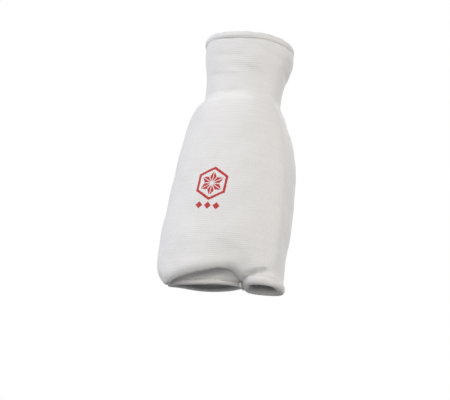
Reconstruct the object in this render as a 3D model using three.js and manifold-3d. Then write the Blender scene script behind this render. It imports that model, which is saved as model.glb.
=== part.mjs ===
// A fist protector for karate: an elastic knitted tube for the hand, with a foam pad under the knit over
// the back of the hand, a plain wrist cuff, and separate openings for the four fingers and the thumb.
// It is modelled as it is worn. Millimetres. +Z runs up the forearm, -Y is the back of the hand, +X is the
// thumb side, and the origin is the middle of the wrist.
import * as THREE from "three";
import { mergeVertices } from "three/addons/utils/BufferGeometryUtils.js";
import Module from "manifold-3d";

const wasm = await Module();
wasm.setup();

// Driving dimensions
const KNIT_WALL = 2.4; // two layers of elastic knit
const SEAM_GAP = 0.3; // between neighbouring pieces
const RING_SIDES = 48; // facets round the hand
const THUMB_SIDES = 32; // facets round the thumb
const PAD_SIDES = 64; // facets round the padded outline
const HEM_SIDES = 8; // facets round a hem's own section
const ROW_PITCH = 12; // longest step between two lofted rows
const RUN_ON = 12; // how far a cutting solid runs on past an end
const HEM_ROUNDING = 0.7; // 1 is an oval hem, less is squarer

const CUFF_TOP = 46; // where the cuff's knit is turned into its hem
const CUFF_HEM = { height: 6, thickness: 4 };
const CUFF_CANT = 3.5; // how much higher the cuff's rim sits on the little finger side
const CUFF_WIDTH = 70;

const FINGER_RIM = -145.5; // where the knit ends at the fingers, on the back of the hand
const FINGER_HEM = { height: 4.4, thickness: 3.6 };
const HEM_ROOM = 3; // the room for a hem starts this far above its rim
// The finger rim is higher on the palm side: the rise runs from back to palm, and fades out further up.
const PALM_RISE = { height: 6, from: -12, to: 20, above: -100 };
const WEB_RISE = { height: 1.5, from: -20, to: 18 }; // and a little higher towards the thumb

const THUMB_RIM = -143.2;
const THUMB_HEM = { height: 7.4, thickness: 4.6 };
// The thumb's tube turns about this line on its way down, so that its inner side comes to the front.
const THUMB_TURN = { degrees: 10, x: 37, from: -100 };

const PAD_TOP = -2.5; // the pad's end at the wrist
const PAD_SIDE = -7.5; // the pad's edges stop at this depth, on both sides of the hand
const BACK_HALF = { wide: 200, deep: 100, tall: 400 }; // a block that holds all of the back of the hand
const PAD_END = -143; // the level of the pad's rounded end over the knuckles
const PAD_DROOP = { depth: 11.2, from: -50, to: -28 }; // the end hangs over the little finger's side
const PAD_NOTCH = { depth: 19, from: -60, to: 30 }; // it is drawn up towards the web of the thumb
// At the web it hangs down again in a fold, which keeps a share of its depth over the thumb.
const PAD_FOLD = { depth: 6.3, from: 15, to: 26, thumb: 40, kept: 0.96 };
const PAD_SAG_FROM = -105; // above this level the droop and the notch fade out
// The pad thins towards the web: across the hand, and from one level down to the other.
const WEB_FALL = { share: 0.17, from: 6, to: 26, gone: 42, above: -124, below: -146 };

const WEB_TACK = { x: 20.3, y: -3.6, z: -147.6, thickness: 2, depth: 9, height: 4 };

const KNIT_COLOUR = 0xe3e2dd;
const HEM_COLOUR = 0xe8e7e3;
const THREAD_COLOUR = 0xf0efec;

// Sections from the wrist down. left and right are the edges across the hand, back and palm the depths on
// either side of the middle, and square is the roundness: 2 is an ellipse, more is squarer.
const COLUMNS = ["z", "left", "right", "back", "palm", "square"];
const table = (rows) =>
  rows.map((row) => Object.fromEntries(COLUMNS.map((name, i) => [name, row[i]])));

const CUFF_SECTIONS = table([
  [CUFF_TOP, -36.0, 34.2, 27.0, 26.5, 2.2],
  [40, -35.2, 35.2, 26.6, 26.2, 2.2],
  [30, -33.4, 33.0, 25.4, 25.0, 2.2],
  [15, -30.8, 30.2, 23.8, 23.6, 2.2],
  [SEAM_GAP / 2, -30.0, 29.4, 23.4, 23.0, 2.3],
]);

// The knitted tube next to the hand
const SLEEVE_SECTIONS = table([
  [-SEAM_GAP / 2, -30.0, 29.4, 23.4, 23.0, 2.3],
  [-10, -35.0, 34.6, 21.5, 23.4, 2.4],
  [-28, -40.2, 40.6, 18.8, 24.2, 2.5],
  [-60, -43.8, 46.0, 16.8, 25.4, 2.6],
  [-86, -46.2, 46.4, 16.2, 26.0, 2.6],
  [-104, -47.2, 42.6, 16.0, 25.8, 2.6],
  [-120, -47.8, 36.5, 16.0, 25.6, 2.6],
  [-134, -45.6, 28.0, 15.8, 25.0, 2.6],
  [FINGER_RIM, -38.6, 18.6, 15.2, 24.0, 2.5],
]);

// The tube for the thumb, which starts inside the other as the ball of the thumb
const SLEEVE_THUMB_SECTIONS = table([
  [-8, 16.0, 31.0, 8.0, 12.0, 2.2],
  [-26, 14.0, 41.4, 12.0, 18.5, 2.2],
  [-58, 13.0, 48.6, 14.0, 22.0, 2.2],
  [-90, 13.0, 50.0, 14.6, 22.0, 2.2],
  [-108, 15.0, 50.0, 15.2, 19.4, 2.2],
  [-124, 18.4, 49.8, 16.0, 14.6, 2.2],
  [-134, 20.8, 49.6, 17.2, 10.6, 2.4],
  [THUMB_RIM, 22.8, 50.0, 21.0, 7.4, 2.6],
]);

// The outside of the knit that covers the pad
const PAD_SECTIONS = table([
  [PAD_TOP, -30.8, 31.0, 26.0, 23.0, 2.3],
  [-6, -33.8, 33.8, 29.4, 23.0, 2.4],
  [-14, -38.0, 38.0, 32.2, 23.4, 2.5],
  [-30, -41.2, 43.2, 33.4, 24.2, 2.5],
  [-60, -44.4, 48.8, 34.0, 25.4, 2.6],
  [-98, -47.6, 51.0, 34.0, 26.0, 2.6],
  [-126, -49.0, 51.0, 33.6, 25.4, 2.6],
  [-139.5, -47.3, 50.4, 33.0, 25.0, 2.6],
  [-143.8, -44.6, 48.6, 31.4, 24.6, 2.6],
  [-146.3, -40.4, 45.6, 28.4, 24.0, 2.6],
  [-147.2, -36.0, 41.6, 24.0, 23.0, 2.5],
]);

// The hollow behind the pad's lower edge, where the pad hangs free of the sleeve
const POCKET_SECTIONS = table([
  [-136, -36.5, 17.5, 15.4, 20.0, 2.5],
  [-147, -36.5, 22.0, 30.0, 20.0, 2.5],
]);

// One column of a table at height z: a cubic through the rows, level where the column turns back
function columnAt(rows, name, z) {
  const found = rows.findIndex((row) => row.z < z);
  const i = Math.max(0, (found < 0 ? rows.length - 1 : found) - 1);
  const slope = (j) => {
    if (j < 0 || j >= rows.length - 1) return null;
    return (rows[j + 1][name] - rows[j][name]) / (rows[j + 1].z - rows[j].z);
  };
  const tangent = (j) => {
    const before = slope(j - 1);
    const after = slope(j);
    if (before === null || after === null) return before ?? after;
    return before * after <= 0 ? 0 : (2 * before * after) / (before + after);
  };
  const span = rows[i + 1].z - rows[i].z;
  const t = (z - rows[i].z) / span;
  return (
    rows[i][name] * (1 + 2 * t) * (1 - t) ** 2 +
    rows[i + 1][name] * t * t * (3 - 2 * t) +
    tangent(i) * span * t * (1 - t) ** 2 +
    tangent(i + 1) * span * t * t * (t - 1)
  );
}

const sectionAt = (rows, z) =>
  Object.fromEntries(COLUMNS.map((name) => [name, name === "z" ? z : columnAt(rows, name, z)]));

// The table's sections, with more between rows that lie far apart
function stations(rows) {
  const made = [sectionAt(rows, rows[0].z)];
  for (let i = 1; i < rows.length; i += 1) {
    const drop = rows[i].z - rows[i - 1].z;
    const steps = Math.ceil(Math.abs(drop) / ROW_PITCH);
    for (let k = 1; k <= steps; k += 1) made.push(sectionAt(rows, rows[i - 1].z + (drop * k) / steps));
  }
  return made;
}

// A section grown outwards, or shrunk by a negative amount
const grown = (section, by) => ({
  ...section,
  left: section.left - by,
  right: section.right + by,
  back: section.back + by,
  palm: section.palm + by,
});

// The closed outline of one section, anticlockwise from the thumb side as seen from above
function ring(section, sides, shape = () => {}) {
  const middle = (section.left + section.right) / 2;
  const half = (section.right - section.left) / 2;
  const rounded = (v) => Math.sign(v) * Math.abs(v) ** (2 / section.square);
  return Array.from({ length: sides }, (_, i) => {
    const angle = (2 * Math.PI * i) / sides;
    const across = rounded(Math.cos(angle));
    const deep = rounded(Math.sin(angle));
    const point = new THREE.Vector3(
      middle + half * across,
      deep * (deep > 0 ? section.palm : section.back),
      section.z,
    );
    shape(point);
    return point;
  });
}

// A closed surface through rings of equal length, closed by a fan at both ends, or joined end to end
function skin(rings, joined = false) {
  const sides = rings[0].length;
  const points = rings.flat();
  const faces = [];
  const quads = (upper, lower) => {
    for (let i = 0; i < sides; i += 1) {
      const next = (i + 1) % sides;
      faces.push(upper + i, lower + i, lower + next, upper + i, lower + next, upper + next);
    }
  };
  for (let k = 1; k < rings.length; k += 1) quads((k - 1) * sides, k * sides);
  if (joined) quads((rings.length - 1) * sides, 0);
  else {
    const fan = (start, up) => {
      const centre = rings[start].reduce((sum, p) => sum.add(p), new THREE.Vector3());
      points.push(centre.divideScalar(sides));
      const hub = points.length - 1;
      for (let i = 0; i < sides; i += 1) {
        const a = start * sides + i;
        const b = start * sides + ((i + 1) % sides);
        faces.push(hub, up ? a : b, up ? b : a);
      }
    };
    fan(0, true);
    fan(rings.length - 1, false);
  }
  return new THREE.BufferGeometry().setFromPoints(points).setIndex(faces);
}

// Geometry to a solid for joining and cutting, and back
function solidOf(geometry) {
  const bare = geometry.clone();
  bare.deleteAttribute("normal");
  bare.deleteAttribute("uv");
  const merged = mergeVertices(bare, 1e-4);
  return new wasm.Manifold(
    new wasm.Mesh({
      numProp: 3,
      vertProperties: new Float32Array(merged.attributes.position.array),
      triVerts: new Uint32Array(merged.index.array),
    }),
  );
}

function geometryOf(solid) {
  const { vertProperties, triVerts } = solid.getMesh();
  return new THREE.BufferGeometry()
    .setAttribute("position", new THREE.BufferAttribute(vertProperties, 3))
    .setIndex(new THREE.BufferAttribute(triVerts, 1));
}

// A solid lofted through a table, grown by a margin and run on past its ends
function lofted(rows, sides, { margin = 0, above = 0, below = 0, shape } = {}) {
  const sections = stations(rows).map((section) => grown(section, margin));
  const first = sections[0];
  const last = sections[sections.length - 1];
  if (above) sections.unshift({ ...first, z: first.z + above });
  if (below) sections.push({ ...last, z: last.z - below });
  return solidOf(skin(sections.map((section) => ring(section, sides, shape))));
}

const smoothstep = THREE.MathUtils.smoothstep;

// The cuff's rim is canted, and the cant fades out at the wrist.
function cuffShape(p) {
  p.z -= (p.x / CUFF_WIDTH) * CUFF_CANT * smoothstep(p.z, 0, CUFF_TOP);
}

// The finger rim rises towards the palm and the thumb.
function rimShape(p) {
  const towardsPalm = PALM_RISE.height * smoothstep(p.y, PALM_RISE.from, PALM_RISE.to);
  const towardsThumb = WEB_RISE.height * smoothstep(p.x, WEB_RISE.from, WEB_RISE.to);
  p.z += (towardsPalm + towardsThumb) * smoothstep(-p.z, -PALM_RISE.above, -FINGER_RIM);
}

function thumbShape(p) {
  const { degrees, x, from } = THUMB_TURN;
  const turn = THREE.MathUtils.degToRad(degrees) * smoothstep(-p.z, -from, -THUMB_RIM);
  p.applyAxisAngle(new THREE.Vector3(0, 0, 1), turn);
  p.x += x * (1 - Math.cos(turn));
  p.y -= x * Math.sin(turn);
}

// How far the pad's lower end lies above or below a level line, from side to side of the hand
function padHang(x) {
  const droop = PAD_DROOP.depth * smoothstep(x, PAD_DROOP.from, PAD_DROOP.to);
  const notch = PAD_NOTCH.depth * smoothstep(x, PAD_NOTCH.from, PAD_NOTCH.to);
  return notch - droop;
}

// The share of its depth by which the pad falls back at the web
function webFall(x) {
  const { share, from, to, gone } = WEB_FALL;
  return share * smoothstep(x, from, to) * (1 - smoothstep(x, to, gone));
}

// The pad hangs over the knuckles, with a notch and a fold beside it at the web of the thumb.
function padShape(p) {
  const sag = 1 - smoothstep(p.z, PAD_END, PAD_SAG_FROM);
  const { depth, from, to, thumb, kept } = PAD_FOLD;
  const fold = depth * smoothstep(p.x, from, to) * (1 - (1 - kept) * smoothstep(p.x, to, thumb));
  p.y *= 1 - webFall(p.x) * smoothstep(-p.z, -WEB_FALL.above, -WEB_FALL.below);
  p.z += (padHang(p.x) - fold) * sag;
}

function pocketShape(p) {
  p.z += padHang(p.x);
}

// A hem: a rounded band hung round a rim, its upper edge one seam gap clear of the knit's cut edge
function hemBand(rim, hem, upwards = 1) {
  const profile = Array.from({ length: HEM_SIDES }, (_, i) => {
    const angle = (2 * Math.PI * (i + 0.5)) / HEM_SIDES;
    const rounded = (v) => Math.sign(v) * Math.abs(v) ** HEM_ROUNDING;
    return {
      out: (hem.thickness / 2) * rounded(Math.cos(angle)),
      up: upwards * (SEAM_GAP + hem.height / 2) + (hem.height / 2) * rounded(Math.sin(angle)),
    };
  });
  const rings = rim.map((point, i) => {
    const before = rim[(i + rim.length - 1) % rim.length];
    const after = rim[(i + 1) % rim.length];
    const outward = new THREE.Vector3(after.y - before.y, before.x - after.x, 0).normalize();
    return profile.map(({ out, up }) =>
      point.clone().addScaledVector(outward, out).setZ(point.z + up),
    );
  });
  return skin(rings, true);
}

const lastOf = (rows) => rows[rows.length - 1];

// The tube for the hand, with the thumb's tube joined to its side, hollow from the wrist to both rims
function handSleeve() {
  const outside = lofted(SLEEVE_SECTIONS, RING_SIDES, { shape: rimShape }).add(
    lofted(SLEEVE_THUMB_SECTIONS, THUMB_SIDES, { shape: thumbShape }),
  );
  const ends = { margin: -KNIT_WALL, below: RUN_ON };
  const hollow = lofted(SLEEVE_SECTIONS, RING_SIDES, { ...ends, above: RUN_ON, shape: rimShape }).add(
    lofted(SLEEVE_THUMB_SECTIONS, THUMB_SIDES, { ...ends, shape: thumbShape }),
  );
  return geometryOf(outside.subtract(hollow));
}

// Room for a hem below the rim that ends a table
function hemSpace(rows, hem, sides, shape) {
  const rim = grown(lastOf(rows), (hem.thickness - KNIT_WALL) / 2 + SEAM_GAP);
  const levels = [rim.z + HEM_ROOM, rim.z - RUN_ON];
  return solidOf(skin(levels.map((z) => ring({ ...rim, z }, sides, shape))));
}

// The pad in its knit cover: what lies between the outside of the cover and the tubes next to the hand
function backPad() {
  const cover = lofted(PAD_SECTIONS, PAD_SIDES, { shape: padShape });
  const clear = { margin: SEAM_GAP, below: RUN_ON };
  const hollow = lofted(SLEEVE_SECTIONS, RING_SIDES, { ...clear, above: RUN_ON })
    .add(lofted(SLEEVE_THUMB_SECTIONS, THUMB_SIDES, { ...clear, shape: thumbShape }))
    .add(hemSpace(SLEEVE_SECTIONS, FINGER_HEM, RING_SIDES))
    .add(hemSpace(SLEEVE_THUMB_SECTIONS, THUMB_HEM, THUMB_SIDES, thumbShape))
    .add(lofted(POCKET_SECTIONS, PAD_SIDES, { below: RUN_ON, shape: pocketShape }));
  const { wide, deep, tall } = BACK_HALF;
  const half = new THREE.BoxGeometry(wide, deep, tall).translate(0, PAD_SIDE - deep / 2, 0);
  return geometryOf(cover.subtract(hollow).intersect(solidOf(half)));
}

function wristCuff() {
  const outside = lofted(CUFF_SECTIONS, RING_SIDES, { shape: cuffShape });
  const hollow = lofted(CUFF_SECTIONS, RING_SIDES, {
    margin: -KNIT_WALL,
    above: RUN_ON,
    below: RUN_ON,
    shape: cuffShape,
  });
  return geometryOf(outside.subtract(hollow));
}

// The middle of the wall along the rim that ends a table
const rimOf = (section, sides, shape) => ring(grown(section, -KNIT_WALL / 2), sides, shape);

const cuffHem = () => hemBand(rimOf(CUFF_SECTIONS[0], RING_SIDES, cuffShape), CUFF_HEM);

const fingerHem = () =>
  hemBand(rimOf(lastOf(SLEEVE_SECTIONS), RING_SIDES, rimShape), FINGER_HEM, -1);

const thumbHem = () =>
  hemBand(rimOf(lastOf(SLEEVE_THUMB_SECTIONS), THUMB_SIDES, thumbShape), THUMB_HEM, -1);

// A short bar of thread that ties the two hems together at the web of the thumb
function webTack() {
  const { x, y, z, thickness, depth, height } = WEB_TACK;
  const bar = new THREE.CapsuleGeometry(thickness / 2, depth - thickness, HEM_SIDES / 2, HEM_SIDES);
  return bar.scale(1, 1, height / thickness).translate(x, y, z);
}

const knit = new THREE.MeshStandardMaterial({ color: KNIT_COLOUR, roughness: 0.9, metalness: 0 });
const hemKnit = new THREE.MeshStandardMaterial({ color: HEM_COLOUR, roughness: 0.85, metalness: 0 });
const thread = new THREE.MeshStandardMaterial({ color: THREAD_COLOUR, roughness: 0.7, metalness: 0 });

const PIECES = [
  { name: "wrist_cuff", geometry: wristCuff(), material: knit },
  { name: "cuff_hem", geometry: cuffHem(), material: hemKnit },
  { name: "hand_sleeve", geometry: handSleeve(), material: knit },
  { name: "back_pad", geometry: backPad(), material: knit },
  { name: "finger_hem", geometry: fingerHem(), material: hemKnit },
  { name: "thumb_hem", geometry: thumbHem(), material: hemKnit },
  { name: "web_tack", geometry: webTack(), material: thread },
];

const protector = new THREE.Group();
for (const { name, geometry, material } of PIECES) {
  const mesh = new THREE.Mesh(geometry, material);
  mesh.name = name;
  protector.add(mesh);
}

export default protector;
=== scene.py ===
# %% [markdown]
# # A knitted fist protector
# The real object is a tube of white elastic knit with a cuff, openings for the fingers and the thumb,
# and a foam pad under the knit of its back. Its solids come from the CAD part: here they get a
# continuous knitted skin, turned hems, sewing thread and a studio. Everything is in metres in the part's
# own frame: +Z runs up to the cuff, -Y is the padded back and +X is the thumb side.

import math

import bmesh
import bpy
import numpy as np
from mathutils import Matrix, Vector
from mathutils.bvhtree import BVHTree


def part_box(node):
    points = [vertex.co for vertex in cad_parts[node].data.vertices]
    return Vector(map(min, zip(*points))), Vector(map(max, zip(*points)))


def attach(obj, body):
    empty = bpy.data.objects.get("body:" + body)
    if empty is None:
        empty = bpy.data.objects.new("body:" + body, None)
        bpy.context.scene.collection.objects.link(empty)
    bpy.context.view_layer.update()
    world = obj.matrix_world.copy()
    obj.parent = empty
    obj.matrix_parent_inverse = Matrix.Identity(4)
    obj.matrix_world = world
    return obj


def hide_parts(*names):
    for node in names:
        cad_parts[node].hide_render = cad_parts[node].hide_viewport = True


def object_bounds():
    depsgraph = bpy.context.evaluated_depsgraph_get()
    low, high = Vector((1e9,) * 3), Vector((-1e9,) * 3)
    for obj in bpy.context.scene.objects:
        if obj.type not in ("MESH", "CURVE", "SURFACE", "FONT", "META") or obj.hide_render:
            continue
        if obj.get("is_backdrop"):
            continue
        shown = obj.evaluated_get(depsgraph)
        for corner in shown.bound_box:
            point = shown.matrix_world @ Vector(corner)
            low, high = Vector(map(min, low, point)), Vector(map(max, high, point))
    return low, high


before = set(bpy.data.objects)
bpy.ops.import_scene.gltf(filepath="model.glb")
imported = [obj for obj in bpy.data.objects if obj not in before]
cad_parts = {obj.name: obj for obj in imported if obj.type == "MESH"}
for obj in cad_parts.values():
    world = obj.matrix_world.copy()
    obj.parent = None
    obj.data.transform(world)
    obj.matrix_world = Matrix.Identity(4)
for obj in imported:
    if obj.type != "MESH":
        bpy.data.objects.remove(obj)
cad_box = [list(corner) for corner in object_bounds()]
MM = 0.001
print("nodes:", sorted(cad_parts))

# %% [markdown]
# ## The camera
# The protector is seen from a little below its middle and from the thumb's side, and it leans a few
# degrees in the picture. A camera could be aimed by a constraint, but a matrix of three directions holds
# the lean as well. A long lens keeps the sides nearly parallel, as in a product picture.

# %% Set up the camera
VIEW = {"turn": 22.0, "rise": -20.0, "roll": 8.0, "distance": 1.0, "mm_per_pixel": 0.76}
LOOK_AT = Vector((-0.004, 0.0, -0.078))
FRAME_WIDTH_PIXELS = 450

turn, rise, roll = (math.radians(VIEW[key]) for key in ("turn", "rise", "roll"))
towards = Vector(
    (math.sin(turn) * math.cos(rise), -math.cos(turn) * math.cos(rise), math.sin(rise))
)
sideways = Vector((math.cos(turn), math.sin(turn), 0.0))
upright = towards.cross(sideways)
across = sideways * math.cos(roll) + upright * math.sin(roll)
upward = upright * math.cos(roll) - sideways * math.sin(roll)

camera = bpy.data.objects.new("camera", bpy.data.cameras.new("camera"))
bpy.context.collection.objects.link(camera)
place = Matrix((across, upward, towards)).transposed().to_4x4()
place.translation = LOOK_AT + towards * VIEW["distance"]
camera.matrix_world = place
pixels_in_focus = VIEW["distance"] / (VIEW["mm_per_pixel"] * MM)
camera.data.lens = camera.data.sensor_width * pixels_in_focus / FRAME_WIDTH_PIXELS
bpy.context.scene.camera = camera
print("lens", round(camera.data.lens, 1), "mm")

# %% [markdown]
# ## Working on meshes as arrays
# A knitted skin has tens of thousands of points. A Python loop over them would be slow, so they are
# moved all at once with NumPy. These helpers read and write a mesh's points, copy CAD solids into one
# new piece, and turn live modifiers into a plain mesh.


# %% Points of a mesh
def points_of(mesh):
    flat = np.empty(3 * len(mesh.vertices))
    mesh.vertices.foreach_get("co", flat)
    return flat.reshape(-1, 3)


def normals_of(mesh):
    flat = np.empty(3 * len(mesh.vertices))
    mesh.vertex_normals.foreach_get("vector", flat)
    return flat.reshape(-1, 3)


def set_points(mesh, points):
    mesh.vertices.foreach_set("co", points.ravel())
    mesh.update()


# %% New pieces and their modifiers
def new_piece(name, mesh):
    piece = bpy.data.objects.new(name, mesh)
    bpy.context.collection.objects.link(piece)
    return piece


def merged_copy(name, *meshes):
    work = bmesh.new()
    for mesh in meshes:
        work.from_mesh(mesh)
    bmesh.ops.remove_doubles(work, verts=work.verts, dist=1e-6)
    mesh = bpy.data.meshes.new(name)
    work.to_mesh(mesh)
    work.free()
    return new_piece(name, mesh)


def apply_modifiers(piece):
    evaluated = piece.evaluated_get(bpy.context.evaluated_depsgraph_get())
    mesh = bpy.data.meshes.new_from_object(evaluated)
    piece.modifiers.clear()
    piece.data = mesh
    mesh.name = piece.name


def remesh(piece, voxel):
    modifier = piece.modifiers.new("even_faces", "REMESH")
    modifier.mode = "VOXEL"
    modifier.voxel_size = voxel
    apply_modifiers(piece)


# %% Relaxing, and smooth steps
def relax(mesh, times, weight=1.0, share=0.5):
    """Moves each point towards the mean of its neighbours, as stretched cloth evens itself out."""
    points = points_of(mesh)
    count = len(points)
    edges = np.empty(2 * len(mesh.edges), np.int64)
    mesh.edges.foreach_get("vertices", edges)
    a, b = edges.reshape(-1, 2).T
    degree = np.bincount(np.r_[a, b], minlength=count)[:, None]
    pull = share * np.broadcast_to(np.asarray(weight, float), (count,))[:, None]
    for _ in range(times):
        total = np.stack(
            [
                np.bincount(a, points[b, k], count) + np.bincount(b, points[a, k], count)
                for k in range(3)
            ],
            axis=1,
        )
        points += pull * (total / degree - points)
    set_points(mesh, points)


def ramp(values, low, high):
    t = np.clip((values - low) / (high - low), 0.0, 1.0)
    return t * t * (3.0 - 2.0 * t)


def bump(values, middle, width):
    return np.exp(-(((values - middle) / width) ** 2))


def signed_power(values, power):
    """Raises each value's size to a power and keeps its sign, which squares off or rounds an outline."""
    return np.sign(values) * np.abs(values) ** power


# %% [markdown]
# ## The pad swells under the knit
# The pad is foam, so its front is full and crowned and its edges are round. It could be sculpted, but a
# cloth simulation swells it evenly: a copy of the pad's solid, made of even faces and a little smaller
# than the real thing, is blown up by a gentle pressure with gravity off. Where it lies on the sleeve or
# faces it, it is pinned, so only the front swells. How far a point may go is capped, so that the pad
# keeps the outline of its solid.

# %% Slim the pad and find its free front
PAD_FACE = 1.8 * MM
PAD_SLIMMER = 0.9 * MM
PIN_REACH = 2.4 * MM
FACING_FRONT = (-0.2, 0.4)

pad = merged_copy("pad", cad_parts["back_pad"].data)
remesh(pad, PAD_FACE)
relax(pad.data, 1)
sleeve_surface = BVHTree.FromObject(
    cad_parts["hand_sleeve"], bpy.context.evaluated_depsgraph_get()
)
reach = np.array([sleeve_surface.find_nearest(p)[3] for p in map(Vector, points_of(pad.data))])
free = ramp(reach, PIN_REACH, 4.0 * PIN_REACH) * ramp(-normals_of(pad.data)[:, 1], *FACING_FRONT)
before = points_of(pad.data) - normals_of(pad.data) * (PAD_SLIMMER * free)[:, None]
set_points(pad.data, before)
print("pad:", len(before), "points,", round(100 * float(free.mean())), "% of them free")

# %% Swell the pad
PAD_PRESSURE = 9.0
PAD_FRAMES = 20
PAD_SWELL_CAP = 2.2 * MM

held = pad.vertex_groups.new(name="held")
for index, amount in enumerate(1.0 - free):
    held.add([index], float(amount), "REPLACE")
cloth = pad.modifiers.new("cloth", "CLOTH")
cloth.settings.quality = 6
cloth.settings.mass = 0.06
cloth.settings.tension_stiffness = 5.0
cloth.settings.compression_stiffness = 5.0
cloth.settings.shear_stiffness = 3.0
cloth.settings.bending_stiffness = 0.5
cloth.settings.use_pressure = True
cloth.settings.uniform_pressure_force = PAD_PRESSURE
cloth.settings.vertex_group_mass = "held"
cloth.settings.effector_weights.gravity = 0.0
cloth.point_cache.frame_end = PAD_FRAMES
for step in range(1, PAD_FRAMES + 1):
    bpy.context.scene.frame_set(step)
apply_modifiers(pad)
bpy.context.scene.frame_set(1)
moved = points_of(pad.data) - before
length = np.linalg.norm(moved, axis=1, keepdims=True)
moved *= np.minimum(1.0, PAD_SWELL_CAP / np.maximum(length, 1e-9))
set_points(pad.data, before + moved)
print("pad swells by up to", round(float(length.max()) / MM, 2), "mm before the cap")

# %% [markdown]
# ## Rims of the openings
# The three openings have the CAD part's own rims. A rim is a squared ellipse at one height, the cuff's
# is tilted and the finger rim rises towards the palm and the thumb. The thumb's is turned, so that its
# inner side comes to the front. A rim could be read off the solid's edges, but a formula also gives the
# hems a smooth path. The knit's cut edge is lengthened, so that it ends inside its hem.

# %% Rims of the three openings
RIMS = {
    # height, left, right, back, palm, squareness, and which way the hem lies from the knit's cut edge
    "cuff": (46.0, -36.0, 34.2, 27.0, 26.5, 2.2, 1),
    "finger": (-145.5, -38.6, 18.6, 15.2, 24.0, 2.5, -1),
    "thumb": (-143.2, 22.8, 50.0, 21.0, 7.4, 2.6, -1),
}
CUFF_CANT, CUFF_WIDTH = 3.5, 70.0
PALM_RISE, PALM_FROM, PALM_TO = 6.0, -12.0, 20.0
WEB_RISE, WEB_FROM, WEB_TO = 1.5, -20.0, 18.0
THUMB_TURN, THUMB_MIDDLE = math.radians(10), 37.0


def rim_height(name, x, y):
    """Height of a rim, in millimetres."""
    height = np.full_like(x, RIMS[name][0])
    if name == "cuff":
        height -= CUFF_CANT * x / CUFF_WIDTH
    if name == "finger":
        height += PALM_RISE * ramp(y, PALM_FROM, PALM_TO) + WEB_RISE * ramp(x, WEB_FROM, WEB_TO)
    return height


# %% Lengthen the cut edges
RIM_REACH = 3.4
RIM_TOLERANCE, RIM_MARGIN = 0.4, 1.0


def lengthened(node, *rims):
    piece = merged_copy(node + "_long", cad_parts[node].data)
    points = points_of(piece.data)
    x, y, z = points.T / MM
    for name in rims:
        _, left, right, *_, way = RIMS[name]
        at_height = np.abs(z - rim_height(name, x, y)) < RIM_TOLERANCE
        on_rim = at_height & (x > left - RIM_MARGIN) & (x < right + RIM_MARGIN)
        points[on_rim, 2] += way * RIM_REACH * MM
        print(name, "rim:", int(on_rim.sum()), "points lengthened")
    set_points(piece.data, points)
    return piece


cuff = lengthened("wrist_cuff", "cuff")
sleeve = lengthened("hand_sleeve", "finger", "thumb")

# %% [markdown]
# ## One knitted skin
# On the real thing the same knit runs from the cuff over the pad to the hems, so no edge shows between
# them. A subdivision surface would need one clean cage round them all. A voxel remesh needs none: it
# joins the swollen pad, the sleeve and the cuff into one skin with its inside wall, which is then
# relaxed. It is relaxed longest along the pad's side edges, where the stretched knit bridges the step,
# and least in the pocket, whose lip stays crisp.

# %% Join the skin
SKIN_FACE = 1.1 * MM

skin = merged_copy("knit_skin", pad.data, sleeve.data, cuff.data)
for piece in (pad, sleeve, cuff):
    bpy.data.objects.remove(piece)
remesh(skin, SKIN_FACE)
print("skin:", len(skin.data.vertices), "points,", len(skin.data.polygons), "faces")

# %% Relax the skin
# Each pair gives, in millimetres, where a zone of the skin begins and where it is whole.
POCKET_DOWN, POCKET_FRONT, POCKET_SIDE = (118, 130), (2, 8), (-32, -23)
EDGE_OUT, EDGE_DOWN, EDGE_UP = (22, 34), (-4, 6), (-146, -134)
EDGE_DEPTH, EDGE_WIDTH, SHOULDER_WIDTH = -7.5, 7.0, 4.0
LIP_KEPT, SHOULDER_SHARE = 0.75, 0.3
TIMES_ALL_OVER, TIMES_AT_EDGES = 12, 60

x, y, z = points_of(skin.data).T / MM
crisp = ramp(-z, *POCKET_DOWN) * ramp(-y, *POCKET_FRONT) * ramp(-x, *POCKET_SIDE)
relax(skin.data, TIMES_ALL_OVER, 1.0 - LIP_KEPT * crisp)
side_edge = bump(y, EDGE_DEPTH, EDGE_WIDTH) * ramp(np.abs(x), *EDGE_OUT)
side_edge *= ramp(-z, *EDGE_DOWN) * ramp(z, *EDGE_UP)
shoulder = bump(z, 0.0, SHOULDER_WIDTH)
relax(skin.data, TIMES_AT_EDGES, np.maximum(side_edge, SHOULDER_SHARE * shoulder))
print("crisp over", round(100 * float((crisp > 0.5).mean())), "% of the skin")

# %% [markdown]
# ## Folds in the knit
# The cuff has a few shallow wrinkles, and above the pad's shoulder the knit is drawn in round the wrist.
# They could be sculpted one by one, but a table can be read and changed. Each fold is a row: where it
# starts and ends, in millimetres, how wide it is and how deep. Points near the line between the two ends
# sink along their normal, and where the depth is negative, as along the pad's lip, they rise. Besides,
# no worn knit is quite even: a dozen or so long shallow waves, from a fixed seed, lift and sink the
# whole skin by a few tenths of a millimetre.

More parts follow.
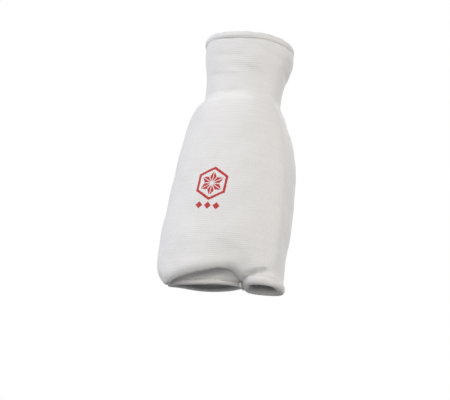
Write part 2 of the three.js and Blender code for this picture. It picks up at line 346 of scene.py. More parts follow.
# %% The table of folds
FOLDS = [
    # from x, y, z, to x, y, z, width, depth
    (-26.0, -16.0, 2.6, 0.0, -23.5, 3.4, 2.4, 0.7),
    (0.0, -23.5, 3.4, 26.0, -14.0, 2.0, 2.4, 0.7),
    (-20.0, -24.0, 34.0, 4.0, -26.0, 31.0, 2.6, 0.5),
    (-10.0, -25.0, 27.0, 22.0, -21.0, 17.0, 3.6, 0.6),
    (-24.0, -19.0, 19.0, 2.0, -24.0, 15.5, 2.4, 0.45),
    (8.0, -25.0, 41.0, 33.0, -12.0, 33.0, 3.4, 0.7),
    (32.0, -8.0, 28.0, 30.0, 10.0, 22.0, 3.2, 0.7),
    (-31.0, 8.0, 30.0, -24.0, 19.0, 25.0, 3.0, 0.5),
    (-14.0, 24.0, 20.0, 16.0, 24.0, 16.0, 3.0, 0.6),
    (-6.0, 25.5, 34.0, 24.0, 21.0, 30.0, 3.2, 0.5),
    (-20.0, 23.0, -2.0, 12.0, 23.0, 1.0, 3.0, 0.7),
    (6.0, 24.0, -52.0, 34.0, 21.0, -30.0, 5.0, 0.8),
    (-30.0, 22.0, -112.0, 10.0, 25.5, -104.0, 4.0, 0.6),
    (14.0, 22.0, -134.0, 24.0, 20.0, -116.0, 3.5, 0.9),
    (-16.0, -32.5, -143.0, 22.0, -29.0, -136.5, 4.5, -1.0),
]
print(len(FOLDS), "folds")

# %% Press the folds and the waves
FOLD_FADE = 0.3
WAVES, WAVE_HEIGHT = 14, 0.09 * MM
WAVE_LENGTHS = (16 * MM, 46 * MM)

points = points_of(skin.data)
normals = normals_of(skin.data)
sink = np.zeros(len(points))
for *ends, width, depth in FOLDS:
    start, end = np.array(ends[:3]) * MM, np.array(ends[3:]) * MM
    run = end - start
    along = (points - start) @ run / (run @ run)
    nearest = start + np.clip(along, 0.0, 1.0)[:, None] * run
    off = np.linalg.norm(points - nearest, axis=1)
    fade = ramp(along, -FOLD_FADE, FOLD_FADE) * ramp(1.0 - along, -FOLD_FADE, FOLD_FADE)
    sink += depth * MM * fade * bump(off, 0.0, width * MM)
rng = np.random.default_rng(7)
for _ in range(WAVES):
    heading = rng.normal(size=3)
    heading *= 2 * math.pi / (np.linalg.norm(heading) * rng.uniform(*WAVE_LENGTHS))
    sink += WAVE_HEIGHT * np.sin(points @ heading + rng.uniform(0, 6))
set_points(skin.data, points - normals * sink[:, None])
relax(skin.data, 2, 0.5)
print("the knit sinks by up to", round(float(sink.max()) / MM, 2), "mm")

# %% [markdown]
# ## Where each stitch of the knit lies
# Knitting is a grid: wales run lengthwise and courses run round. Plain object coordinates would do for a
# flat cloth, but here the grid has to follow the form, so it goes into a UV map. The number of wales
# stays the same all the way down and the knit stretches to fit, so a wale's number is the share of the
# way round. A course's number is its height, and under the pad's overhang the depth takes over. A face
# that crosses the start of the round has its wales counted on.

# %% The share of the way round
SECTIONS = np.array(
    [
        # height, left, right, back, palm
        (-150, -40, 50, 30, 24),
        (-120, -49, 51, 34, 26),
        (-60, -44, 49, 34, 25),
        (-14, -38, 38, 32, 23),
        (0, -30, 30, 24, 23),
        (46, -36, 34, 27, 26),
    ],
    float,
)
HALF_WIDTH, HALF_DEPTH, SQUARED = 46, 30, 1.25


def wale_share(points):
    height = points[:, 2] / MM
    left, right, back, palm = (np.interp(height, SECTIONS[:, 0], c) for c in SECTIONS.T[1:])
    x = (points[:, 0] / MM - (left + right) / 2) / ((right - left) / 2)
    y = points[:, 1] / MM / np.where(points[:, 1] > 0, palm, back)
    angle = np.arctan2(signed_power(y, SQUARED), signed_power(x, SQUARED))
    t = np.linspace(-math.pi, math.pi, 361)
    outline_x = HALF_WIDTH * signed_power(np.cos(t), 1 / SQUARED)
    outline_y = HALF_DEPTH * signed_power(np.sin(t), 1 / SQUARED)
    steps = np.hypot(np.diff(outline_x), np.diff(outline_y))
    return np.interp(angle, t, np.r_[0, np.cumsum(steps)] / steps.sum())


# %% Lay the knit's grid
WALES = 190
COURSE_PITCH = 1.5 * MM  # about 1 mm on the real knit, drawn coarser so that it shows
FACING_DOWN, OVERHANG_FROM = (0.3, 0.8), (128 * MM, 138 * MM)
LIP_FRONT = -33 * MM


def set_knit_map(mesh, wales, courses, count):
    corner = np.empty(len(mesh.loops), np.int64)
    mesh.loops.foreach_get("vertex_index", corner)
    starts = np.empty(len(mesh.polygons), np.int64)
    mesh.polygons.foreach_get("loop_start", starts)
    sizes = np.diff(np.r_[starts, len(corner)])
    u, v = wales[corner], courses[corner]
    first = np.repeat(u[starts], sizes)
    u = u + count * np.round((first - u) / count)
    mesh.uv_layers.new(name="knit").data.foreach_set("uv", np.stack([u, v], 1).ravel())


points = points_of(skin.data)
below = ramp(-normals_of(skin.data)[:, 2], *FACING_DOWN) * ramp(-points[:, 2], *OVERHANG_FROM)
drop = points[:, 2] - below * (points[:, 1] - LIP_FRONT)
set_knit_map(skin.data, WALES * wale_share(points), drop / COURSE_PITCH, WALES)
print("knit of", WALES, "wales,", round(np.ptp(points[:, 2]) / COURSE_PITCH), "courses")

# %% [markdown]
# ## Hems
# At the wrist, the fingers and the thumb the knit is turned in and stitched down. The turned edge is
# thicker than the knit, and the thread draws a shallow furrow with a small pucker at every stitch. A
# bevelled curve would give a plain band, so the points are worked out here: each hem is a rounded
# section swept round its rim, at even steps, and its rim is the CAD part's own.

# %% Paths of the hems
HEMS = {
    # height of the band, thickness, gap to the knit's rim, stitches' level and spacing, roundness
    "cuff": (6.0, 3.9, 0.3, -2.1, 3.0, 0.72),
    "finger": (4.4, 3.8, 0.3, 1.2, 3.0, 0.72),
    "thumb": (7.4, 5.8, 0.3, 2.8, 2.8, 0.95),
}
KNIT_WALL = 2.4
HEM_STEP = 0.8
RIM_SAMPLES = 2001


def rim_path(name):
    """Evenly spaced points in the middle of the hem's wall, with the outward direction at each."""
    _, left, right, back, palm, square, way = RIMS[name]
    inset = KNIT_WALL / 2
    t = np.linspace(0, 2 * math.pi, RIM_SAMPLES)
    x = signed_power(np.cos(t), 2 / square)
    y = signed_power(np.sin(t), 2 / square)
    x = (left + right) / 2 + ((right - left) / 2 - inset) * x
    y = np.where(y > 0, palm - inset, back - inset) * y
    if name == "thumb":
        c, s = math.cos(THUMB_TURN), math.sin(THUMB_TURN)
        aside = x - THUMB_MIDDLE
        x, y = THUMB_MIDDLE + c * aside - s * y, s * aside + c * y
    band, _, gap, *_ = HEMS[name]
    path = np.stack([x, y, rim_height(name, x, y) + way * (gap + band / 2)], axis=1)
    walked = np.r_[0, np.cumsum(np.linalg.norm(np.diff(path, axis=0), axis=1))]
    count = round(walked[-1] / HEM_STEP)
    even = np.linspace(0, walked[-1], count, endpoint=False)
    path = np.stack([np.interp(even, walked, column) for column in path.T], axis=1)
    ahead = np.roll(path, -1, axis=0) - np.roll(path, 1, axis=0)
    outward = np.stack([ahead[:, 1], -ahead[:, 0], np.zeros(count)], axis=1)
    outward /= np.linalg.norm(outward, axis=1, keepdims=True)
    return path, outward, even, walked[-1]


paths = {name: rim_path(name) for name in RIMS}
print({name: round(path[3]) for name, path in paths.items()}, "mm round the rims")


# %% A tube from a grid of points
def tube_mesh(name, grid):
    rings, sides = grid.shape[:2]
    here, side = np.meshgrid(np.arange(rings) * sides, np.arange(sides), indexing="ij")
    ahead, beside = np.roll(here, -1, axis=0), np.roll(side, -1, axis=1)
    faces = np.stack([here + side, ahead + side, ahead + beside, here + beside], axis=-1)
    mesh = bpy.data.meshes.new(name)
    mesh.from_pydata(grid.reshape(-1, 3).tolist(), [], faces.reshape(-1, 4).tolist())
    mesh.shade_smooth()
    return mesh


# %% Sweep the hems
HEM_SIDES = 30
PUCKER, PUCKER_WIDTH = 0.16, 2.2
FURROW_DEPTH, FURROW_WIDTH, FURROW_RIPPLE = 0.7, 0.8, 0.3
SWAY, SWAY_WAVES = (0.05, 0.14), (5, 9, 13, 21)
LIFT, CREST_LIFT, GIRTH_SWAY = 0.5, 0.6, 0.08


def swept_hem(name):
    band, thickness, _, level, spacing, rounding = HEMS[name]
    path, outward, walked, length = paths[name]
    stitches = round(length / spacing)
    phase = 2 * math.pi * stitches * walked / length
    sway = sum(
        rng.uniform(*SWAY) * np.cos(2 * math.pi * k * walked / length + rng.uniform(0, 6))
        for k in SWAY_WAVES
    )
    rows = []
    for side in range(HEM_SIDES):
        angle = 2 * math.pi * side / HEM_SIDES
        c, s = math.cos(angle), math.sin(angle)
        out = thickness / 2 * signed_power(c, rounding)
        up = band / 2 * signed_power(s, rounding)
        inward = math.copysign(min(1.0, 3 * abs(c)), c)
        furrow = FURROW_DEPTH * bump(up, level, FURROW_WIDTH) * inward
        swell = PUCKER * np.cos(phase) * bump(up, level, PUCKER_WIDTH) * c
        lift = sway * (LIFT + CREST_LIFT * s)
        reach = out * (1 + GIRTH_SWAY * sway) - furrow * (1 - FURROW_RIPPLE * np.cos(phase)) - swell
        point = path + outward * reach[:, None]
        point[:, 2] += up + lift
        rows.append(point)
    mesh = tube_mesh(f"{name}_hem_turned", np.stack(rows, axis=1) * MM)
    return new_piece(mesh.name, mesh)


hems = {name: swept_hem(name) for name in RIMS}
for name, hem in hems.items():
    print(hem.name, len(hem.data.polygons), "faces")

# %% [markdown]
# ## Colours and one helper for nodes
# Colours are written as sRGB hex, as in a paint program, and turned to the linear values that shaders
# use. One helper adds a node, with its settings and links, to a material or to a geometry tree.


# %% Colour and node helpers
def linear(code):
    channels = (int(code[i : i + 2], 16) / 255 for i in (1, 3, 5))
    return (*(c / 12.92 if c <= 0.04045 else ((c + 0.055) / 1.055) ** 2.4 for c in channels), 1.0)


def add_node(tree, kind, links=None, **settings):
    node = tree.nodes.new(kind)
    for name, value in settings.items():
        setattr(node, name, value)
    for socket, source in (links or {}).items():
        if isinstance(source, bpy.types.NodeSocket):
            tree.links.new(source, node.inputs[socket])
        else:
            node.inputs[socket].default_value = source
    return node


def new_material(name):
    material = bpy.data.materials.new(name)
    material.use_nodes = True
    tree = material.node_tree
    tree.nodes.clear()
    shader = add_node(tree, "ShaderNodeBsdfPrincipled")
    add_node(tree, "ShaderNodeOutputMaterial", {"Surface": shader.outputs["BSDF"]})
    return material, tree, shader


# %% [markdown]
# ## Cotton and polyester elastic knit
# The yarn is bleached cotton and polyester round rubber cores, knitted in fine courses that show as
# faint lines round the tube. It is matt with a soft sheen from loose fibres. Modelling every loop would
# take millions of faces, so the relief of the knit is worked out from the UV grid: the two legs of every
# stitch lean towards each other, with a furrow between the wales. Some courses are tighter than others,
# which gives broken horizontal streaks.

# %% The knit's relief
HALF_WALE, FULL_TURN = 0.5, 2 * math.pi
WANDER, WANDER_SCALE = 0.5, 1 / (11 * MM)
STREAK_SCALE = (0.035, 0.62, 0.0)


def knit_relief(tree, lean, furrow):
    threads = add_node(tree, "ShaderNodeUVMap", uv_map="knit")
    grid = add_node(tree, "ShaderNodeSeparateXYZ", {0: threads.outputs[0]})
    wales, courses = grid.outputs["X"], grid.outputs["Y"]
    place = add_node(tree, "ShaderNodeTexCoord").outputs["Object"]
    wander = add_node(
        tree, "ShaderNodeTexNoise", {"Vector": place, "Scale": WANDER_SCALE, "Detail": 2.0}
    )
    strayed = add_node(
        tree, "ShaderNodeMath", {0: wander.outputs[0], 1: WANDER, 2: courses}, operation="MULTIPLY_ADD"
    )
    leg = add_node(tree, "ShaderNodeMath", {0: wales, 1: HALF_WALE}, operation="PINGPONG")
    leaned = add_node(
        tree,
        "ShaderNodeMath",
        {0: leg.outputs[0], 1: lean, 2: strayed.outputs[0]},
        operation="MULTIPLY_ADD",
    )
    turned = add_node(tree, "ShaderNodeMath", {0: leaned.outputs[0], 1: FULL_TURN}, operation="MULTIPLY")
    loop = add_node(tree, "ShaderNodeMath", {0: turned.outputs[0]}, operation="SINE")
    split = add_node(tree, "ShaderNodeMath", {0: wales, 1: FULL_TURN}, operation="MULTIPLY")
    gap = add_node(tree, "ShaderNodeMath", {0: split.outputs[0]}, operation="COSINE")
    relief = add_node(
        tree,
        "ShaderNodeMath",
        {0: gap.outputs[0], 1: furrow, 2: loop.outputs[0]},
        operation="MULTIPLY_ADD",
    )
    stretched = add_node(tree, "ShaderNodeCombineXYZ", {"X": wales, "Y": courses})
    scaled = add_node(
        tree, "ShaderNodeVectorMath", {0: stretched.outputs[0], 1: STREAK_SCALE}, operation="MULTIPLY"
    )
    streak = add_node(
        tree, "ShaderNodeTexNoise", {"Vector": scaled.outputs[0], "Scale": 1.0, "Detail": 2.0}
    )
    return relief.outputs[0], streak.outputs[0], place


# %% [markdown]
# ## A printed sign on the pad
# A sign in red screen ink sits on the pad, about 23 mm wide and 34 mm high. It is a plain ornament: a
# six-pointed leaf star in a hexagon, above a row of three small diamonds. An image could be laid on the
# knit, but sums of the coordinates stay sharp at any size. The star is drawn by folding the plane into
# twelve equal wedges, so that one straight edge makes all its points. Each row of the recipe below is
# one small sum, which names the sums that it takes in. The ink is thin, so the knit shows through.

# %% The recipe of the sign
SIGN_RADIUS = 11.6 * MM
SIGN_MIDDLE = (-2.4 * MM, 0.0, -78.0 * MM)
SIGN_TILT = math.radians(4)
INK, INK_GRAIN_SCALE = "#BE1A20", 1 / (0.9 * MM)
SIXTH = math.pi / 6
SIGN_RECIPE = [
    # name, kind of sum, what goes in; lengths are shares of the sign's radius
    ("speckle", "SUBTRACT", "grain", 0.5),
    ("ragged", "MULTIPLY", "speckle", 0.06),
    ("x", "ADD", "across", "ragged"),
    ("z", "SUBTRACT", "upward", "ragged"),
    ("x_squared", "MULTIPLY", "x", "x"),
    ("square", "MULTIPLY_ADD", "z", "z", "x_squared"),
    ("radial", "SQRT", "square"),
    ("turn", "ARCTAN2", "x", "z"),
    ("whole_turn", "ADD", "turn", math.pi),
    ("wedge", "PINGPONG", "whole_turn", SIXTH),
    ("wedge_cosine", "COSINE", "wedge"),
    ("wedge_sine", "SINE", "wedge"),
    ("along", "MULTIPLY", "radial", "wedge_cosine"),
    ("beside", "MULTIPLY", "radial", "wedge_sine"),
    ("half_along", "MULTIPLY", "along", math.sin(SIXTH)),
    ("leaf_edge", "MULTIPLY_ADD", "beside", math.cos(SIXTH), "half_along"),
    ("long_along", "MULTIPLY", "along", math.cos(SIXTH)),
    ("hexagon", "MULTIPLY_ADD", "beside", math.sin(SIXTH), "long_along"),
    ("from_seam", "SUBTRACT", SIXTH, "wedge"),
    ("seam_sine", "SINE", "from_seam"),
    ("seam", "MULTIPLY", "radial", "seam_sine"),
    ("in_leaf", "LESS_THAN", "leaf_edge", 0.43),
    ("off_seam", "GREATER_THAN", "seam", 0.03),
    ("off_vein", "GREATER_THAN", "beside", 0.026),
    ("half_star", "MULTIPLY", "in_leaf", "off_seam"),
    ("star", "MULTIPLY", "half_star", "off_vein"),
    ("frame", "COMPARE", "hexagon", 0.92, 0.085),
    ("shifted", "ADD", "x", 0.3),
    ("folded", "PINGPONG", "shifted", 0.3),
    ("cell", "SUBTRACT", "folded", 0.3),
    ("cell_width", "ABSOLUTE", "cell"),
    ("lowered", "ADD", "z", 1.5),
    ("cell_height", "ABSOLUTE", "lowered"),
    ("slant", "ADD", "cell_width", "cell_height"),
    ("in_diamond", "LESS_THAN", "slant", 0.24),
    ("in_row", "COMPARE", "x", 0.0, 0.9),
    ("diamonds", "MULTIPLY", "in_diamond", "in_row"),
    ("star_or_frame", "MAXIMUM", "star", "frame"),
    ("sign", "MAXIMUM", "star_or_frame", "diamonds"),
    ("front", "LESS_THAN", "depth", -20 * MM),
    ("printed", "MULTIPLY", "sign", "front"),
    ("cover", "MULTIPLY_ADD", "relief", 0.03, 0.95),
    ("ink", "MULTIPLY", "printed", "cover"),
]
print(len(SIGN_RECIPE), "sums make the sign")


# %% The printed sign
def printed_sign(tree, place, relief):
    local = add_node(
        tree,
        "ShaderNodeMapping",
        {
            "Vector": place,
            "Location": SIGN_MIDDLE,
            "Rotation": (0, SIGN_TILT, 0),
            "Scale": (SIGN_RADIUS,) * 3,
        },
        vector_type="TEXTURE",
    )
    on_sign = add_node(tree, "ShaderNodeSeparateXYZ", {0: local.outputs[0]})
    on_part = add_node(tree, "ShaderNodeSeparateXYZ", {0: place})
    grain = add_node(
        tree, "ShaderNodeTexNoise", {"Vector": place, "Scale": INK_GRAIN_SCALE, "Detail": 1.0}
    )
    made = {
        "across": on_sign.outputs["X"],
        "upward": on_sign.outputs["Z"],
        "depth": on_part.outputs["Y"],
        "grain": grain.outputs[0],
        "relief": relief,
    }
    for name, operation, *taken in SIGN_RECIPE:
        inputs = {slot: made.get(value, value) for slot, value in enumerate(taken)}
        made[name] = add_node(tree, "ShaderNodeMath", inputs, operation=operation).outputs[0]
    return made["ink"]


# %% The knit's colour
STREAK_TONE, BLOTCH_TONE, BLOTCH_SCALE = 0.6, 0.5, 1 / (34 * MM)


def knit_colour(tree, relief, streak, place, lit_crest_tone, shaded_hollow_tone):
    blotch = add_node(
        tree, "ShaderNodeTexNoise", {"Vector": place, "Scale": BLOTCH_SCALE, "Detail": 3.0}
    )
    # Painted shade: the colour is darker in the hollows of the knit's relief and lighter on its crests,
    # while the streaks and blotches vary the tone at random.
    height = add_node(tree, "ShaderNodeMapRange", {"Value": relief, "From Min": -1.4, "From Max": 1.2})
    lines = add_node(
        tree,
        "ShaderNodeMath",
        {0: streak, 1: STREAK_TONE, 2: height.outputs[0]},
        operation="MULTIPLY_ADD",
    )
    tone = add_node(
        tree,
        "ShaderNodeMath",
        {0: blotch.outputs[0], 1: BLOTCH_TONE, 2: lines.outputs[0]},
        operation="MULTIPLY_ADD",
    )
    share = add_node(
        tree, "ShaderNodeMapRange", {"Value": tone.outputs[0], "From Min": 0.45, "From Max": 1.45}
    )
    mixed = add_node(
        tree,
        "ShaderNodeMix",
        {"Factor": share.outputs[0], 6: linear(shaded_hollow_tone), 7: linear(lit_crest_tone)},
        data_type="RGBA",
    )
    return mixed.outputs[2]


# %% A knit material
STREAK_RELIEF, FUZZ_RELIEF, FUZZ_SCALE = 2.2, 0.5, 1 / (0.5 * MM)


def knit_material(name, lit_crest_tone, shaded_hollow_tone, lean, furrow, depth, with_sign):
    material, tree, shader = new_material(name)
    relief, streak, place = knit_relief(tree, lean, furrow)
    colour = knit_colour(tree, relief, streak, place, lit_crest_tone, shaded_hollow_tone)
    if with_sign:
        ink = printed_sign(tree, place, relief)
        colour = add_node(
            tree, "ShaderNodeMix", {"Factor": ink, 6: colour, 7: linear(INK)}, data_type="RGBA"
        ).outputs[2]
    tree.links.new(colour, shader.inputs["Base Color"])
    fuzz = add_node(tree, "ShaderNodeTexNoise", {"Vector": place, "Scale": FUZZ_SCALE, "Detail": 2.0})
    rough = add_node(
        tree, "ShaderNodeMapRange", {"Value": fuzz.outputs[0], "To Min": 0.78, "To Max": 0.98}
    )
    tree.links.new(rough.outputs[0], shader.inputs["Roughness"])
    shader.inputs["Sheen Weight"].default_value = 0.25
    shader.inputs["Sheen Roughness"].default_value = 0.5
    shader.inputs["Specular IOR Level"].default_value = 0.25
    rows = add_node(
        tree, "ShaderNodeMath", {0: streak, 1: STREAK_RELIEF, 2: relief}, operation="MULTIPLY_ADD"
    )
    total = add_node(
        tree,
        "ShaderNodeMath",
        {0: fuzz.outputs[0], 1: FUZZ_RELIEF, 2: rows.outputs[0]},
        operation="MULTIPLY_ADD",
    )
    dents = add_node(
        tree, "ShaderNodeBump", {"Strength": 1.0, "Distance": depth, "Height": total.outputs[0]}
    )
    tree.links.new(dents.outputs[0], shader.inputs["Normal"])
    print(name, "has", len(tree.nodes), "nodes")
    return material


# %% Make the knit materials
# Each knit gets two tones: a lighter one for the lit crests of its stitches and a darker one for their
# shaded hollows, which paints shade into the knit.
elastic_knit = knit_material(
    "elastic_cotton_knit", "#EFEEEE", "#E1E0DF", lean=0.9, furrow=0.3, depth=0.04 * MM, with_sign=True
)
hem_knit = knit_material(
    "turned_elastic_knit", "#F1F0F0", "#E3E2E1", lean=0.3, furrow=0.6, depth=0.05 * MM, with_sign=False
)

# %% [markdown]
# ## Sewing thread
# Spun polyester thread is a little whiter and glossier than the knit, and its plies wind round it. They
# could be modelled as twisted strands, but at this size they are only a fine ripple along the stitch,
# which a wave texture gives.

# %% Make the thread
PLY_SCALE, PLY_DEPTH = 1 / (2.4 * MM), 0.05 * MM

sewing_thread, thread_tree, thread_shader = new_material("spun_polyester_thread")
thread_place = add_node(thread_tree, "ShaderNodeTexCoord").outputs["Object"]
plies = add_node(
    thread_tree, "ShaderNodeTexWave", {"Vector": thread_place, "Scale": PLY_SCALE, "Distortion": 2.0}
)
# Painted shade: the wave that dents the plies also colours their grooves darker and their tops lighter.
ply_colour_with_shade = add_node(
    thread_tree,
    "ShaderNodeMix",
    {"Factor": plies.outputs[1], 6: linear("#DEDDD9"), 7: linear("#F6F5F1")},
    data_type="RGBA",
)
thread_tree.links.new(ply_colour_with_shade.outputs[2], thread_shader.inputs["Base Color"])
ply_dents = add_node(
    thread_tree, "ShaderNodeBump", {"Strength": 0.6, "Distance": PLY_DEPTH, "Height": plies.outputs[1]}
)
thread_tree.links.new(ply_dents.outputs[0], thread_shader.inputs["Normal"])
thread_shader.inputs["Roughness"].default_value = 0.55
thread_shader.inputs["Sheen Weight"].default_value = 0.15
print(sewing_thread.name, "has", len(thread_tree.nodes), "nodes")

# %% Dress the skin and the hems
HEM_WALE, HEM_COURSES = 1.3, 14

skin.data.materials.clear()
skin.data.materials.append(elastic_knit)
skin.data.shade_smooth()
for name, hem in hems.items():
    rings = len(paths[name][0])
    order = np.arange(rings * HEM_SIDES)
    wales = round(paths[name][3] / HEM_WALE)
    round_share = (order // HEM_SIDES) / rings
    section = (order % HEM_SIDES) / HEM_SIDES
    courses = HEM_COURSES * np.abs(2 * section - 1)
    set_knit_map(hem.data, wales * round_share, courses, wales)
    hem.data.materials.append(hem_knit)
    print(hem.name, "has", wales, "wales")

# %% [markdown]
# ## Rows of stitches
# The hems are held by a row of short straight stitches in the furrow. They could be copied in a loop,
# but in Geometry Nodes the spacing and the thread stay inputs that can be changed. The tree walks along
# a curve at an even spacing and sets one slim rounded stitch at each step, turned along the curve. The
# stitch has few faces, because there are hundreds of them.


# %% The start and the end of a thread tree
def start_thread_tree(name, *sizes):
    """Begins a tree that walks along a curve at an even spacing, with its sizes as inputs."""
    tree = bpy.data.node_groups.new(name, "GeometryNodeTree")
    tree.interface.new_socket("Geometry", in_out="INPUT", socket_type="NodeSocketGeometry")
    inputs = {
        size: tree.interface.new_socket(size, in_out="INPUT", socket_type="NodeSocketFloat").identifier
        for size in sizes
    }
    tree.interface.new_socket("Geometry", in_out="OUTPUT", socket_type="NodeSocketGeometry")
    given = add_node(tree, "NodeGroupInput")
    walk = add_node(
        tree,
        "GeometryNodeCurveToPoints",
        {"Curve": given.outputs["Geometry"], "Length": given.outputs["Spacing"]},
        mode="LENGTH",
    )
    return tree, inputs, given, walk


def end_thread_tree(tree, copies):
    """Turns the copies that were set into one smooth mesh of thread."""
    real = add_node(tree, "GeometryNodeRealizeInstances", {"Geometry": copies})
    smooth = add_node(tree, "GeometryNodeSetShadeSmooth", {"Geometry": real.outputs[0]})
    thread = add_node(
        tree, "GeometryNodeSetMaterial", {"Geometry": smooth.outputs[0], "Material": sewing_thread}
    )
    add_node(tree, "NodeGroupOutput", {"Geometry": thread.outputs[0]})
    print(tree.name, "has", len(tree.nodes), "nodes")


# %% The stitch row's tree
stitch_row, stitch_inputs, given, walk = start_thread_tree(
    "stitch_row", "Spacing", "Stitch Length", "Thread Thickness"
)
bead = add_node(stitch_row, "GeometryNodeMeshUVSphere", {"Segments": 8, "Rings": 6, "Radius": 0.5})
bead_size = add_node(
    stitch_row,
    "ShaderNodeCombineXYZ",
    {
        "X": given.outputs["Thread Thickness"],
        "Y": given.outputs["Thread Thickness"],
        "Z": given.outputs["Stitch Length"],
    },
)
stitch = add_node(
    stitch_row, "GeometryNodeTransform", {"Geometry": bead.outputs["Mesh"], "Scale": bead_size.outputs[0]}
)
sewn = add_node(
    stitch_row,
    "GeometryNodeInstanceOnPoints",
    {
        "Points": walk.outputs["Points"],
        "Instance": stitch.outputs[0],
        "Rotation": walk.outputs["Rotation"],
    },
)
end_thread_tree(stitch_row, sewn.outputs[0])


# %% Growing thread on a curve
def curve_through(name, points, closed):
    curve = bpy.data.curves.new(name, "CURVE")
    curve.dimensions = "3D"
    spline = curve.splines.new("POLY")
    spline.points.add(len(points) - 1)
    spline.points.foreach_set("co", np.c_[points, np.ones(len(points))].ravel())
    spline.use_cyclic_u = closed
    return curve


def grown_on(name, curve, tree, inputs, sizes):
    carrier = bpy.data.objects.new(name + "_path", curve)
    bpy.context.collection.objects.link(carrier)
    modifier = carrier.modifiers.new("nodes", "NODES")
    modifier.node_group = tree
    for size, value in sizes.items():
        modifier[inputs[size]] = value
    evaluated = carrier.evaluated_get(bpy.context.evaluated_depsgraph_get())
    mesh = bpy.data.meshes.new_from_object(evaluated)
    mesh.name = name
    bpy.data.objects.remove(carrier)
    return new_piece(name, mesh)


# %% Sew the hems
THREAD, SUNK = 0.55, 0.2
STITCH_LENGTH = 2.1

stitches = {}
for name in RIMS:
    band, thickness, _, level, spacing, rounding = HEMS[name]
    path, outward, _, length = paths[name]
    up_share = abs(2 * level / band) ** (2 / rounding)
    reach = thickness / 2 * (1 - up_share) ** (rounding / 2)
    row = path + outward * (reach - SUNK)
    row[:, 2] += level
    even_spacing = length / round(length / spacing)
    stitches[name] = grown_on(
        f"{name}_hem_stitches",
        curve_through(f"{name}_stitch_line", row * MM, closed=True),
        stitch_row,
        stitch_inputs,
        {
            "Spacing": even_spacing * MM,
            "Stitch Length": STITCH_LENGTH * MM,
            "Thread Thickness": THREAD * MM,
        },
    )
    print(stitches[name].name, len(stitches[name].data.polygons), "faces")

# %% [markdown]
# ## The tack at the web
# Where the two hems meet beside the thumb, a short dense bar of thread ties them together, because that
# spot takes all the pull. A bar tack is thread wound tightly round a few long stitches. One coiled curve
# could draw it, but separate loops pack closer: the tree sets a narrow loop of thread, filled by the
# stitches it holds, at every step along a short line.

# %% The bar tack's tree
QUARTER_TURN = math.pi / 2

tack_tree, tack_inputs, given, walk = start_thread_tree(
    "bar_tack", "Spacing", "Loop Width", "Loop Height", "Thread Thickness"
)
ring = add_node(tack_tree, "GeometryNodeCurvePrimitiveCircle", {"Resolution": 14, "Radius": 0.5})
loop_size = add_node(
    tack_tree,
    "ShaderNodeCombineXYZ",
    {"X": given.outputs["Loop Width"], "Y": given.outputs["Loop Height"], "Z": 1.0},
)
loop = add_node(
    tack_tree, "GeometryNodeTransform", {"Geometry": ring.outputs[0], "Scale": loop_size.outputs[0]}
)
half = add_node(
    tack_tree, "ShaderNodeMath", {0: given.outputs["Thread Thickness"], 1: 0.5}, operation="MULTIPLY"
)
strand = add_node(
    tack_tree, "GeometryNodeCurvePrimitiveCircle", {"Resolution": 6, "Radius": half.outputs[0]}
)
wound = add_node(
    tack_tree, "GeometryNodeCurveToMesh", {"Curve": loop.outputs[0], "Profile Curve": strand.outputs[0]}
)
bundle = add_node(tack_tree, "GeometryNodeFillCurve", {"Curve": loop.outputs[0]})
winding = add_node(tack_tree, "GeometryNodeJoinGeometry", {"Geometry": wound.outputs[0]})
tack_tree.links.new(bundle.outputs[0], winding.inputs["Geometry"])
turns = add_node(
    tack_tree,
    "GeometryNodeInstanceOnPoints",
    {
        "Points": walk.outputs["Points"],
        "Instance": winding.outputs[0],
        "Rotation": (QUARTER_TURN, 0.0, 0.0),
    },
)
end_thread_tree(tack_tree, turns.outputs[0])

# %% Wind the bar tack
TACK_THREAD, TACK_STEP = 0.6 * MM, 0.55 * MM

tack_low, tack_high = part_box("web_tack")
tack_middle = (tack_low + tack_high) / 2
tack_line = np.array(
    [
        (tack_middle.x, tack_low.y + TACK_THREAD, tack_middle.z),
        (tack_middle.x, tack_high.y - TACK_THREAD, tack_middle.z),
    ]
)
bar_tack = grown_on(
    "web_bar_tack",
    curve_through("tack_line", tack_line, closed=False),
    tack_tree,
    tack_inputs,
    {
        "Spacing": TACK_STEP,
        "Loop Width": (tack_high - tack_low).x - TACK_THREAD,
        "Loop Height": (tack_high - tack_low).z - TACK_THREAD,
        "Thread Thickness": TACK_THREAD,
    },
)
print(bar_tack.name, len(bar_tack.data.polygons), "faces")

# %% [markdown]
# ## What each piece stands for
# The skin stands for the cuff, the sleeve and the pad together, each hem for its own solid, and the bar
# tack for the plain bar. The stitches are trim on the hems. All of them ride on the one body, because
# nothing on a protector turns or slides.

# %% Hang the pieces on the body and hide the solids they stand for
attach(skin, "root")
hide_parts("wrist_cuff", "hand_sleeve", "back_pad")
for name, hem in hems.items():
    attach(hem, "root")
    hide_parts(f"{name}_hem")
    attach(stitches[name], "root")
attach(bar_tack, "root")
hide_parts("web_tack")
print(2 + len(hems), "pieces for", len(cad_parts), "solids, and", len(stitches), "rows of trim")

# %% [markdown]
# ## Studio
# A small pale floor lies well below the part, which hangs in the air in the form it has when worn. A
# picture of a studio could light it, but with four large soft lights each has a plain task: one is low
# in front and reaches under the pad's lip, a strong cool one and a warm one tell the two sides apart,
# and the last lights the palm. The surround looks white and gives more light from above than from below.

# %% Lay the floor
FLOOR_HEIGHT, FLOOR_RADIUS, FLOOR_SIDES = -1.3, 0.55, 96

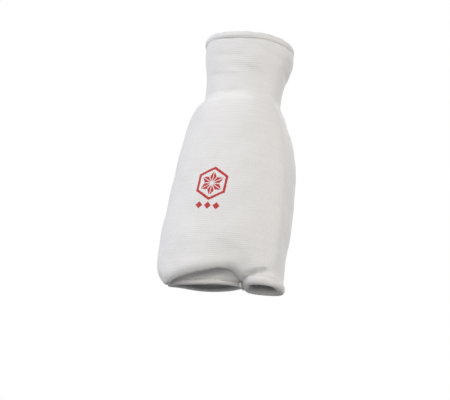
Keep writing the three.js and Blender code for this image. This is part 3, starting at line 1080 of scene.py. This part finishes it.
floor_material, floor_tree, floor_shader = new_material("pale_studio_floor")
floor_grain = add_node(floor_tree, "ShaderNodeTexNoise", {"Scale": 6.0, "Detail": 3.0})
floor_colour = add_node(
    floor_tree,
    "ShaderNodeMix",
    {"Factor": floor_grain.outputs[0], 6: linear("#EDEDEB"), 7: linear("#F3F3F1")},
    data_type="RGBA",
)
floor_tree.links.new(floor_colour.outputs[2], floor_shader.inputs["Base Color"])
floor_shader.inputs["Roughness"].default_value = 0.9
floor_turns = [2 * math.pi * k / FLOOR_SIDES for k in range(FLOOR_SIDES)]
floor_mesh = bpy.data.meshes.new("floor")
floor_mesh.from_pydata(
    [(FLOOR_RADIUS * math.cos(t), FLOOR_RADIUS * math.sin(t), FLOOR_HEIGHT) for t in floor_turns],
    [],
    [tuple(range(FLOOR_SIDES))],
)
floor_mesh.materials.append(floor_material)
floor = new_piece("floor", floor_mesh)
floor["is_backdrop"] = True
print("floor", 2 * FLOOR_RADIUS, "m wide at", FLOOR_HEIGHT, "m")

# %% Set the lights
AIM, SOFTBOX_WIDTH = Vector((0.0, 0.0, -0.06)), 1.0
LIGHTS = [
    # name, place, power, colour
    ("front_softbox", (0.3, -2.3, -0.1), 16.0, "#FFFDF8"),
    ("cool_softbox", (-2.1, -0.9, 0.9), 42.0, "#F4F6FF"),
    ("warm_softbox", (2.0, -1.2, 0.5), 26.5, "#FFFBF6"),
    ("back_softbox", (0.5, 2.2, 1.0), 36.0, "#FFFFFF"),
]

for name, spot, power, tint in LIGHTS:
    lamp = bpy.data.lights.new(name, "AREA")
    lamp.size = SOFTBOX_WIDTH
    lamp.energy = power
    lamp.color = linear(tint)[:3]
    light = bpy.data.objects.new(name, lamp)
    bpy.context.collection.objects.link(light)
    light.location = spot
    light.rotation_euler = (AIM - Vector(spot)).to_track_quat("-Z", "Y").to_euler()
    print(name, power, "W")

# %% Light the surround
world = bpy.data.worlds.new("bright_surround")
bpy.context.scene.world = world
world.use_nodes = True
surround = world.node_tree
surround.nodes.clear()
outward_way = add_node(surround, "ShaderNodeTexCoord").outputs["Generated"]
heading = add_node(surround, "ShaderNodeSeparateXYZ", {0: outward_way})
falling = add_node(
    surround,
    "ShaderNodeMapRange",
    {"Value": heading.outputs["Z"], "From Min": -0.15, "From Max": 0.3, "To Min": 0.16, "To Max": 0.26},
)
seen = add_node(surround, "ShaderNodeLightPath").outputs["Is Camera Ray"]
glow = add_node(
    surround, "ShaderNodeMapRange", {"Value": seen, "To Min": falling.outputs[0], "To Max": 1.0}
)
sky = add_node(
    surround, "ShaderNodeBackground", {"Color": linear("#FFFFFF"), "Strength": glow.outputs[0]}
)
add_node(surround, "ShaderNodeOutputWorld", {"Surface": sky.outputs[0]})
bpy.context.scene.view_settings.view_transform = "Standard"
print(world.name, "has", len(surround.nodes), "nodes")

# %% [markdown]
# ## Sizes and the end
# The dressed part must keep the size of its solids, so both boxes are written down before the last line.

# %% Write the sizes and finish
visual_box = [list(corner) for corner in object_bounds()]
for made, box in (("solids", cad_box), ("dressed", visual_box)):
    print(made, np.round(np.ptp(box, axis=0) / MM, 1), "mm")
